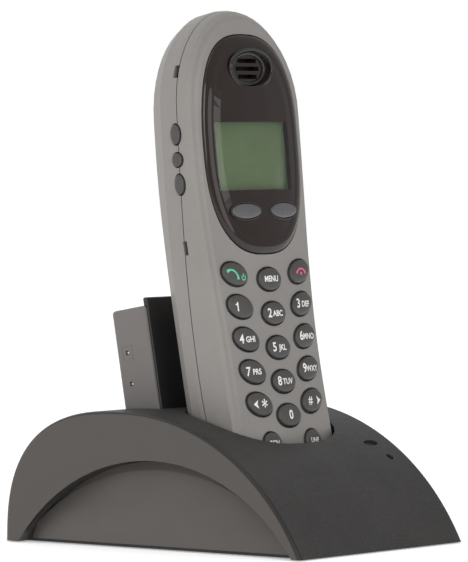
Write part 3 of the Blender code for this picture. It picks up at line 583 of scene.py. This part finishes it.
# %% What the Geometry Nodes trees share
RING_POINTS, BEAD_SIDES, ROD_SIDES = 48, 8, 12


def new_tree(name, **inputs):
    """A node tree that passes geometry, with these inputs, and the sockets they feed."""
    tree = bpy.data.node_groups.new(name, "GeometryNodeTree")
    face = tree.interface
    face.new_socket("Geometry", in_out="INPUT", socket_type="NodeSocketGeometry")
    for socket, kind in inputs.items():
        face.new_socket(socket.replace("_", " "), in_out="INPUT", socket_type="NodeSocket" + kind)
    face.new_socket("Geometry", in_out="OUTPUT", socket_type="NodeSocketGeometry")
    return tree, tree.nodes.new("NodeGroupInput").outputs


def swept(tree, curve, radius, sides, caps):
    """Output of a round rod along a curve."""
    profile = tree.nodes.new("GeometryNodeCurvePrimitiveCircle")
    profile.inputs["Resolution"].default_value = sides
    sweep = numbered(tree, "GeometryNodeCurveToMesh", Fill_Caps=caps)
    tree.links.new(radius, profile.inputs["Radius"])
    tree.links.new(curve, sweep.inputs["Curve"])
    tree.links.new(profile.outputs["Curve"], sweep.inputs["Profile Curve"])
    return sweep.outputs["Mesh"]


def repeated(tree, points, shape, finish, turn=None):
    """Put the shape on every point, paint it, and end the tree with it."""
    spread = tree.nodes.new("GeometryNodeInstanceOnPoints")
    tree.links.new(points, spread.inputs["Points"])
    tree.links.new(shape, spread.inputs["Instance"])
    if turn:
        tree.links.new(turn, spread.inputs["Rotation"])
    real = tree.nodes.new("GeometryNodeRealizeInstances")
    tree.links.new(spread.outputs["Instances"], real.inputs["Geometry"])
    paint = tree.nodes.new("GeometryNodeSetMaterial")
    tree.links.new(real.outputs["Geometry"], paint.inputs["Geometry"])
    tree.links.new(finish, paint.inputs["Material"])
    end = tree.nodes.new("NodeGroupOutput")
    tree.links.new(paint.outputs["Geometry"], end.inputs["Geometry"])
    return tree


def run_tree(tree, name, host_mesh, wanted):
    """Run the tree on a host mesh with these inputs, and return the plain mesh."""
    host = bpy.data.objects.new(name + "_host", host_mesh)
    scene.collection.objects.link(host)
    step = host.modifiers.new(name, "NODES")
    step.node_group = tree
    for socket in tree.interface.items_tree:
        if socket.in_out == "INPUT" and socket.name in wanted:
            step[socket.identifier] = wanted[socket.name]
    graph = bpy.context.evaluated_depsgraph_get()
    mesh = bpy.data.meshes.new_from_object(host.evaluated_get(graph))
    mesh.name = name
    bpy.data.objects.remove(host)
    return mesh


def ride_mesh(mesh, name, body):
    """Put a finished mesh in the scene, riding a body."""
    made = bpy.data.objects.new(name, mesh)
    scene.collection.objects.link(made)
    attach(made, body)
    print(name, len(mesh.polygons), "faces")


# %% Key well lips with Geometry Nodes
def bead_tree():
    """An elliptical bead on every point of the host mesh, turned as the point says."""
    tree, given = new_tree("key_well_lips", Half_width="Float", Half_height="Float",
                           Bead_radius="Float", Finish="Material")
    ring = numbered(tree, "GeometryNodeCurvePrimitiveCircle", Radius=1.0)
    ring.inputs["Resolution"].default_value = RING_POINTS
    sizes = numbered(tree, "ShaderNodeCombineXYZ", Z=1.0)
    tree.links.new(given["Half width"], sizes.inputs["X"])
    tree.links.new(given["Half height"], sizes.inputs["Y"])
    stretch = tree.nodes.new("GeometryNodeTransform")
    tree.links.new(ring.outputs["Curve"], stretch.inputs["Geometry"])
    tree.links.new(sizes.outputs["Vector"], stretch.inputs["Scale"])
    turn = tree.nodes.new("GeometryNodeInputNamedAttribute")
    turn.data_type = "FLOAT_VECTOR"
    turn.inputs["Name"].default_value = "seat_turn"
    bead = swept(tree, stretch.outputs["Geometry"], given["Bead radius"], BEAD_SIDES, False)
    return repeated(tree, given["Geometry"], bead, given["Finish"], turn.outputs["Attribute"])


BEADS = bead_tree()


def lips(name, seats, half, radius, slot):
    """Run the bead tree on one point for each seat, and keep the plain mesh."""
    points = bpy.data.meshes.new(name + "_points")
    points.from_pydata([seat.translation * MM for seat in seats], [], [])
    turns = points.attributes.new("seat_turn", "FLOAT_VECTOR", "POINT")
    for i, seat in enumerate(seats):
        turns.data[i].vector = Vector(seat.to_euler())
    mesh = run_tree(BEADS, name, points, {
        "Half width": half[0] * MM, "Half height": half[1] * MM,
        "Bead radius": radius * MM, "Finish": FINISH[slot]})
    mesh.shade_smooth()
    ride_mesh(mesh, name, "handset")


# %% Place the lips
LIP_OUT = 0.34
LIP_RADIUS = 0.16
SOFT_LIP_RADIUS, SOFT_LIP_RISE = 0.2, 0.9


def lip_half(half):
    """Half sizes of the lip round a cap of these half sizes."""
    return half[0] + LIP_OUT, half[1] + LIP_OUT


lips("key_well_lips", [seat for name, seat in KEY_SEATS.items() if name not in LOWER_KEYS],
     lip_half(KEY_HALF), LIP_RADIUS, "black_plastic")
lips("lower_key_lips", [KEY_SEATS[name] for name in LOWER_KEYS],
     lip_half(LOWER_HALF), LIP_RADIUS, "black_plastic")
lips("softkey_lips",
     [seat @ Matrix.Translation((0, 0, SOFT_LIP_RISE)) for seat in SOFT_SEATS.values()],
     lip_half(SOFT_HALF), SOFT_LIP_RADIUS, "black_plastic")
EARPIECE_S = 123.5
for name, rise, half, radius in (("earpiece_lip", 0.95, (9.3, 5.3), 0.45),
                                 ("earpiece_inner_ring", -0.25, (7.2, 4.3), 0.55)):
    seat = face_seat(0, EARPIECE_S) @ Matrix.Translation((0, 0, rise))
    lips(name, [seat], half, radius, "gloss_black")

# %% [markdown]
# The window's border is a broad polished roll, which can carry a band of light down its
# side. The CAD edge is a few flat steps, so a finer ring is laid over it.

# %% Window roll
WINDOW_S = 102.2
WINDOW_HALF = (21.2, 30.8)
WINDOW_POWER = 2.6
ROLL_WIDTH = 3.2
ROLL_HEIGHT = 0.9
ROLL_SINK = 0.1


def window_outline(inset, height, count=128):
    """Points of the window's superellipse on the face, drawn in by inset."""
    points = []
    for i in range(count):
        turn = 2 * math.pi * i / count
        x, s = [(half - inset) * math.copysign(abs(wave) ** (2 / WINDOW_POWER), wave)
                for half, wave in zip(WINDOW_HALF, (math.cos(turn), math.sin(turn)))]
        points.append(handset_point(x, face_t(x, WINDOW_S + s) + height, WINDOW_S + s))
    return points


# Each level is an inset and a height over the face: skirt, quarter round, inner return.
profile = [(0.0, -0.8)]
for step in range(9):
    turn = math.pi / 2 * step / 8
    profile.append((ROLL_WIDTH * (1 - math.cos(turn)), ROLL_HEIGHT * math.sin(turn) - ROLL_SINK))
profile += [(ROLL_WIDTH + 0.5, 0.68), (ROLL_WIDTH, 0.2)]
bm = bmesh.new()
rings = [[bm.verts.new(point) for point in window_outline(*level)] for level in profile]
join_rings(bm, rings + rings[:1])
bmesh.ops.recalc_face_normals(bm, faces=bm.faces)
piece_from(bm, "window_roll", "handset", "tinted_window")
print("window roll", ROLL_WIDTH, "mm wide")

# %% [markdown]
# Legends are printed in white ink, but the talk mark is green and the end mark red.
# Text made into a mesh and laid a hair above the crowned cap is sharp at any distance,
# which a painted image would not be. Letters beside the digits are the common keypad
# ones. The talk and end marks are an arc with two thick ends, like a bowed receiver.

# %% Printed legends
INK_LIFT = 0.04
INK_CROWN, INK_FLAT = 0.14, 0.55
RECEIVER_BOW, RECEIVER_SAG = math.radians(62), 0.74
RECEIVER_WIDTH, RECEIVER_SWELL = 0.19, 0.17
STROKE = 0.32
DIGIT_SIZE, DIGIT_X = 3.5, -2.6
WORD_SIZE, WORD_X, WORD_Y = 2.25, 0.9, -0.15


def cap_height(x, y, half):
    """Height of the crowned cap top over its seat."""
    out = math.hypot(x / half[0], y / half[1])
    return KEY_TOP - INK_CROWN * max(0.0, out - INK_FLAT) / (1 - INK_FLAT)


def letters(bm, words, size, x, y, weight=0.0):
    """Add centred text to bm, in millimetres on the cap's own plane."""
    curve = bpy.data.curves.new("legend", "FONT")
    curve.body = words
    curve.size = size
    curve.offset = weight
    curve.align_x = "CENTER"
    curve.align_y = "CENTER"
    curve.resolution_u = 4
    text = bpy.data.objects.new("legend", curve)
    scene.collection.objects.link(text)
    graph = bpy.context.evaluated_depsgraph_get()
    mesh = bpy.data.meshes.new_from_object(text.evaluated_get(graph))
    mesh.transform(Matrix.Translation((x, y, 0)))
    bm.from_mesh(mesh)
    bpy.data.objects.remove(text)
    bpy.data.meshes.remove(mesh)


def ribbon(bm, points, widths):
    """A flat strip along points, as wide as widths."""
    sides = []
    for i, point in enumerate(points):
        ahead = Vector(points[min(i + 1, len(points) - 1)]) - Vector(points[max(i - 1, 0)])
        across = Vector((-ahead.y, ahead.x)).normalized() * widths[i] / 2
        sides.append([bm.verts.new((*(Vector(point) + across * sign), 0)) for sign in (1, -1)])
    for (a, b), (c, d) in zip(sides, sides[1:]):
        bm.faces.new((a, b, d, c))


def receiver_mark(bm, x, y, turn, size):
    """A bowed receiver with thick ends, turned in the plane."""
    points, widths = [], []
    for i in range(17):
        share = i / 8 - 1
        angle = share * RECEIVER_BOW
        place = Vector((size * math.sin(angle), size * (math.cos(angle) - RECEIVER_SAG)))
        place.rotate(Matrix.Rotation(turn, 2))
        points.append((x + place.x, y + place.y))
        swell = max(0.0, 2 * abs(share) - 1)
        widths.append(size * (RECEIVER_WIDTH + RECEIVER_SWELL * swell))
    ribbon(bm, points, widths)


def power_mark(bm, x, y, size):
    """A ring that is open at the top, with a stroke through the gap."""
    points = []
    for i in range(21):
        angle = math.radians(40 + 280 * i / 20)
        points.append((x + size * math.sin(angle), y + size * math.cos(angle)))
    ribbon(bm, points, [STROKE] * len(points))
    ribbon(bm, [(x, y + 0.1 * size), (x, y + 1.6 * size)], [STROKE, STROKE])


def arrow_mark(bm, x, y, way):
    """A small arrowhead with a hollow back that points along way."""
    corners = ((1.1, 0.0), (-0.9, 1.25), (-0.4, 0.0), (-0.9, -1.25))
    bm.faces.new([bm.verts.new((x + way * along, y + up, 0)) for along, up in corners])


def print_on(key, bm, slot):
    """Lay a flat legend on the key's crown, facing out, upright although the cap is turned."""
    bmesh.ops.rotate(bm, matrix=Matrix.Rotation(-KEY_TURNS[key], 3, "Z"), verts=bm.verts)
    bmesh.ops.triangulate(bm, faces=bm.faces)
    for face in bm.faces:
        face.normal_update()
        if face.normal.z < 0:
            face.normal_flip()
    for vert in bm.verts:
        vert.co.z = cap_height(vert.co.x, vert.co.y, key_half(key)) + INK_LIFT
    piece_from(bm, "legend_" + key, key, slot, KEY_SEATS[key])


KEY_WORDS = {"2": "ABC", "3": "DEF", "4": "GHI", "5": "JKL", "6": "MNO", "7": "PRS",
             "8": "TUV", "9": "WXY"}
for digit in "0123456789":
    bm = bmesh.new()
    beside = KEY_WORDS.get(digit)
    if digit == "1":
        ribbon(bm, [(-1.7, -1.25), (-1.7, 1.25)], [0.5, 0.5])
        ribbon(bm, [(-2.55, 0.55), (-1.95, 0.75), (-1.6, 1.25)], [0.35, 0.35, 0.45])
    else:
        letters(bm, digit, DIGIT_SIZE, DIGIT_X if beside else 0.0, 0.0, 0.08)
    if beside:
        letters(bm, beside, WORD_SIZE, WORD_X, WORD_Y, 0.06)
    print_on("key_" + digit, bm, "white_ink")
for key, words, size in (
        ("key_menu", "MENU", 2.2), ("key_function", "FCN", 2.1), ("key_line", "LINE", 1.9)):
    bm = bmesh.new()
    letters(bm, words, size, 0.0, 0.0, 0.07)
    print_on(key, bm, "white_ink")
for key, sign, size, x, y, weight, way in (("key_star", "*", 5.2, 1.2, -0.9, 0.06, -1),
                                           ("key_hash", "#", 3.3, -1.7, 0.0, 0.05, 1)):
    bm = bmesh.new()
    arrow_mark(bm, way * 2.2, 0.0, way)
    letters(bm, sign, size, x, y, weight)
    print_on(key, bm, "white_ink")
bm = bmesh.new()
receiver_mark(bm, -1.1, 0.2, math.radians(-28), 2.7)
power_mark(bm, 2.8, -1.1, 0.72)
print_on("key_talk", bm, "green_ink")
bm = bmesh.new()
receiver_mark(bm, 0.0, 0.1, 0.0, 2.5)
bmesh.ops.create_circle(bm, cap_ends=True, segments=16, radius=0.45,
                        matrix=Matrix.Translation((0, -0.6, 0)))
print_on("key_end", bm, "red_ink")
print("legends printed on", len(KEY_SEATS), "keys")

# %% [markdown]
# Behind the window the display glass follows the window's crown, a little below its
# painted underside. A thin curved sheet is enough, because only its face is seen.

# %% Display glass
GLASS_DROPS = (2.2, 2.6)
GLASS_ENDS = (88.9, 108.9)
GLASS_MARGIN = 0.5
GLASS_COLUMNS = 13


def display_glass():
    """Thin crowned panel under the clear rectangle."""
    bm = bmesh.new()
    bands = []
    for drop in GLASS_DROPS:
        for i in range(GLASS_COLUMNS):
            share = 2 * i / (GLASS_COLUMNS - 1) - 1
            x = DISPLAY_X + (DISPLAY_HALF[0] + GLASS_MARGIN) * share
            bands.append([bm.verts.new(handset_point(x, face_t(x, s) - drop, s))
                          for s in GLASS_ENDS])
    for i in range(GLASS_COLUMNS - 1):
        a, b = bands[i], bands[i + 1]
        c, d = bands[GLASS_COLUMNS + i], bands[GLASS_COLUMNS + i + 1]
        bm.faces.new((a[0], b[0], b[1], a[1]))
        bm.faces.new((c[0], c[1], d[1], d[0]))
        bm.faces.new((a[0], c[0], d[0], b[0]))
        bm.faces.new((a[1], b[1], d[1], c[1]))
    for a, c in ((bands[0], bands[GLASS_COLUMNS]), (bands[GLASS_COLUMNS - 1], bands[-1])):
        bm.faces.new((a[0], a[1], c[1], c[0]))
    bmesh.ops.recalc_face_normals(bm, faces=bm.faces)
    piece_from(bm, "display_glass", "handset", "display_green")


display_glass()
print("display glass", GLASS_ENDS[1] - GLASS_ENDS[0], "mm tall")

# %% [markdown]
# Each side wall of the base has an arched scoop with a raised inner panel. The panel's
# flatter top leaves a crescent ledge under the arch. It is lofted between two
# outlines, the wider one on the scoop's floor and the narrower one on its face.

# %% Side panels of the base
BASE_HALF_WIDTH, SCOOP_DEPTH = 37.6, 4.5
SCOOP_FLOOR_X = BASE_HALF_WIDTH - SCOOP_DEPTH
SCOOP_Y, SCOOP_Z, SCOOP_R = -1.0, -34.3, 59.0
PANEL_Z, PANEL_R = -43.9, 66.0
PANEL_RISE = 1.1
PANEL_LOW, PANEL_FOOT = 1.4, 1.2
LEDGE_R = SCOOP_R - 0.4
# From the scoop's floor outwards: radius, centre height, rise and margin at each end.
PANEL_STAGES = (
    (LEDGE_R, SCOOP_Z, 0.05, 0.8),
    (LEDGE_R, SCOOP_Z, 0.35, 0.8),
    (PANEL_R, PANEL_Z, PANEL_RISE - 0.15, 4.6),
    (PANEL_R, PANEL_Z - 0.2, PANEL_RISE, 5.0),
)


def panel_outline(radius, centre_z, low, margin, count=40):
    """Points of an arch cut level at low, from front to back."""
    reach = math.sqrt(radius ** 2 - (low - centre_z) ** 2) - margin
    points = []
    for i in range(count + 1):
        y = SCOOP_Y - reach + 2 * reach * i / count
        points.append((y, centre_z + math.sqrt(radius ** 2 - (y - SCOOP_Y) ** 2)))
    return [(y, max(z, low)) for y, z in points]


def side_panel(name, side):
    """Raised panel in one scoop, with a sloping ledge round its top."""
    bm = bmesh.new()
    loops = []
    for radius, centre_z, rise, margin in PANEL_STAGES:
        arch = panel_outline(radius, centre_z, PANEL_LOW, margin)
        arch += [(arch[-1][0], PANEL_FOOT), (arch[0][0], PANEL_FOOT)]
        loops.append([bm.verts.new((side * (SCOOP_FLOOR_X + rise), y, z)) for y, z in arch])
    join_rings(bm, loops)
    bm.faces.new(loops[0])
    bm.faces.new(loops[-1])
    bmesh.ops.recalc_face_normals(bm, faces=bm.faces)
    # The panels carry the side walls' painted light.
    piece_from(bm, name, "base", "side_wall")


side_panel("side_panel_left", -1)
side_panel("side_panel_right", 1)
print("side panels on scoop floor at x", SCOOP_FLOOR_X, "mm")

# %% [markdown]
# Small moulded ribs give a finger its hold on the battery latch and on the middle side
# button. One rib is a short rod with capped ends, and Geometry Nodes repeat it along a
# line with a named count and pitch, so that a change is one number.

# %% Grip ribs with Geometry Nodes
def rib_tree():
    """A row of short rods along Y, each lying along X."""
    tree, given = new_tree("grip_ribs", Count="Int", Pitch="Float", Length="Float",
                           Rib_radius="Float", Finish="Material")
    step = tree.nodes.new("ShaderNodeCombineXYZ")
    tree.links.new(given["Pitch"], step.inputs["Y"])
    row = tree.nodes.new("GeometryNodeMeshLine")
    tree.links.new(given["Count"], row.inputs["Count"])
    tree.links.new(step.outputs["Vector"], row.inputs["Offset"])
    far = tree.nodes.new("ShaderNodeCombineXYZ")
    tree.links.new(given["Length"], far.inputs["X"])
    rod = tree.nodes.new("GeometryNodeCurvePrimitiveLine")
    tree.links.new(far.outputs["Vector"], rod.inputs["End"])
    rib = swept(tree, rod.outputs["Curve"], given["Rib radius"], ROD_SIDES, True)
    return repeated(tree, row.outputs["Mesh"], rib, given["Finish"])


RIBS = rib_tree()


def ribs(name, body, slot, seat, count, pitch, length, radius):
    """Make the row, centre it on the seat, and ride it on the body."""
    mesh = run_tree(RIBS, name, bpy.data.meshes.new(name + "_host"), {
        "Count": count, "Pitch": pitch * MM, "Length": length * MM,
        "Rib radius": radius * MM, "Finish": FINISH[slot]})
    centred = Matrix.Translation((-length / 2 * MM, -pitch * (count - 1) / 2 * MM, 0))
    place = seat.copy()
    place.translation *= MM
    mesh.transform(place @ centred)
    ride_mesh(mesh, name, body)


LATCH_S, LATCH_RIB_DROP = 92.6, 0.6
LATCH_TOP = 0.9
REAR_T, REAR_TAPER = -11.5, 0.003
leaned = Matrix.Rotation(-lean(LATCH_S), 3, "X")
rear_out, rear_up = leaned @ Vector((0, 1, 0)), leaned @ Vector((0, 0, 1))
latch_t = REAR_T - REAR_TAPER * LATCH_S - LATCH_TOP
latch_place = handset_point(0, latch_t, LATCH_S - LATCH_RIB_DROP)
ribs("latch_ribs", "battery_latch", "handset_grey",
     placement(rear_up.cross(rear_out), rear_up, rear_out, latch_place),
     count=4, pitch=0.95, length=7.4, radius=0.22)

SELECT_BUTTON_S = 98.6
RIB_SINK = 0.05
button_low, button_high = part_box("side_select_button")
button_place = (button_low + button_high) / 2 / MM
button_place.x = button_low.x / MM + RIB_SINK
leaned = Matrix.Rotation(-lean(SELECT_BUTTON_S), 3, "X")
ribs("select_button_ribs", "side_select_button", "key_grey",
     placement(leaned @ Vector((0, -1, 0)), leaned @ Vector((0, 0, 1)), Vector((-1, 0, 0)),
               button_place),
     count=3, pitch=0.7, length=1.5, radius=0.12)

# %% [markdown]
# The spare pack has two small test contacts in its side, bright metal at the bottom of
# their pits, and a thin raised frame round the upper one. The inlet has a centre pin,
# and each screw a cross recess, which is dark because no light gets down into it. One
# small dark dot on the base's left shoulder is painted shade, standing for a small hole.

# %% Contacts, frame, pin, dot and recesses
SPARE_START = (0.0, 11.1, 10.0)
SPARE_LEAN = math.radians(10)
SPARE_FRAME = Matrix.Translation(SPARE_START) @ Matrix.Rotation(-SPARE_LEAN, 4, "X")
SPARE_SIDE_X = -21.0
CONTACT_HEIGHTS = (35.2, 43.9)
CONTACT_DEPTHS = (0.45, 0.75)
CONTACT_Y, CONTACT_HALF = (1.95, 2.65), 0.3
FRAME_Y, FRAME_Z = (0.4, 4.1), (41.9, 45.9)
FRAME_LINE, FRAME_RISE = 0.2, 0.06


def bar(bm, low, high):
    """Add a box between two corners."""
    size = [b - a for a, b in zip(low, high)]
    middle = [(a + b) / 2 for a, b in zip(low, high)]
    bmesh.ops.create_cube(bm, size=1.0,
                          matrix=Matrix.Translation(middle) @ Matrix.Diagonal((*size, 1)))


bm = bmesh.new()
for height in CONTACT_HEIGHTS:
    bar(bm, (SPARE_SIDE_X + CONTACT_DEPTHS[0], CONTACT_Y[0], height - CONTACT_HALF),
        (SPARE_SIDE_X + CONTACT_DEPTHS[1], CONTACT_Y[1], height + CONTACT_HALF))
piece_from(bm, "spare_test_contacts", "spare_battery", "plated_steel", SPARE_FRAME)

bm = bmesh.new()
outer_x = SPARE_SIDE_X - FRAME_RISE
for z in (FRAME_Z[0], FRAME_Z[1] - FRAME_LINE):
    bar(bm, (outer_x, FRAME_Y[0], z), (SPARE_SIDE_X, FRAME_Y[1], z + FRAME_LINE))
for y in (FRAME_Y[0], FRAME_Y[1] - FRAME_LINE):
    bar(bm, (outer_x, y, FRAME_Z[0] + FRAME_LINE),
        (SPARE_SIDE_X, y + FRAME_LINE, FRAME_Z[1] - FRAME_LINE))
raised = piece_from(bm, "spare_raised_frame", "spare_battery", "handset_grey", SPARE_FRAME)
# The raised frame takes the spare pack's painted-shade grey too.
raised.data.materials[0] = SPARE_SHADED_GREY

INLET_START = (15.0, 42.2, 10.1)
PIN_HALF = (0.6, 0.6)
PIN_LEVELS = ((0, 0), (0, 6.5), (0.15, 6.9), (0.4, 7.1))
piece_from(ellipse_stack(PIN_HALF, PIN_LEVELS, count=20), "inlet_pin", "base", "plated_steel",
           Matrix.Translation(INLET_START) @ Matrix.Rotation(math.radians(-90), 4, "X"))

# A dark dot on the left shoulder: painted shade for a small hole there.
MARK_PLACE, MARK_SLOPE = (-35.8, -9.0, 35.31), math.radians(15.4)
MARK_HALF = (0.4, 0.4)
MARK_LEVELS = ((0, -0.1), (0, 0.03), (0.1, 0.06))
piece_from(ellipse_stack(MARK_HALF, MARK_LEVELS, count=16), "hole_shade_dot", "base",
           "black_plastic",
           Matrix.Translation(MARK_PLACE) @ Matrix.Rotation(MARK_SLOPE, 4, "X"))

RECESS_REACH, RECESS_HALF = 1.3, 0.25
RECESS_PROUD = (0.03, 0.04)


def cross_recess(name, node):
    """A dark cross just proud of the underside of a screw head."""
    low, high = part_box(node)
    middle = (low + high) / 2 / MM
    bm = bmesh.new()
    bar(bm, (-RECESS_REACH, -RECESS_HALF, -RECESS_PROUD[0]), (RECESS_REACH, RECESS_HALF, 0.0))
    bar(bm, (-RECESS_HALF, -RECESS_REACH, -RECESS_PROUD[1]), (RECESS_HALF, RECESS_REACH, 0.0))
    piece_from(bm, name, "base", "black_plastic",
               Matrix.Translation((middle.x, middle.y, low.z / MM)))


for number in (1, 2, 3, 4):
    cross_recess("plate_screw_recess_%d" % number, "plate_screw_%d" % number)
print("contacts, frame, pin, dot and recesses made")
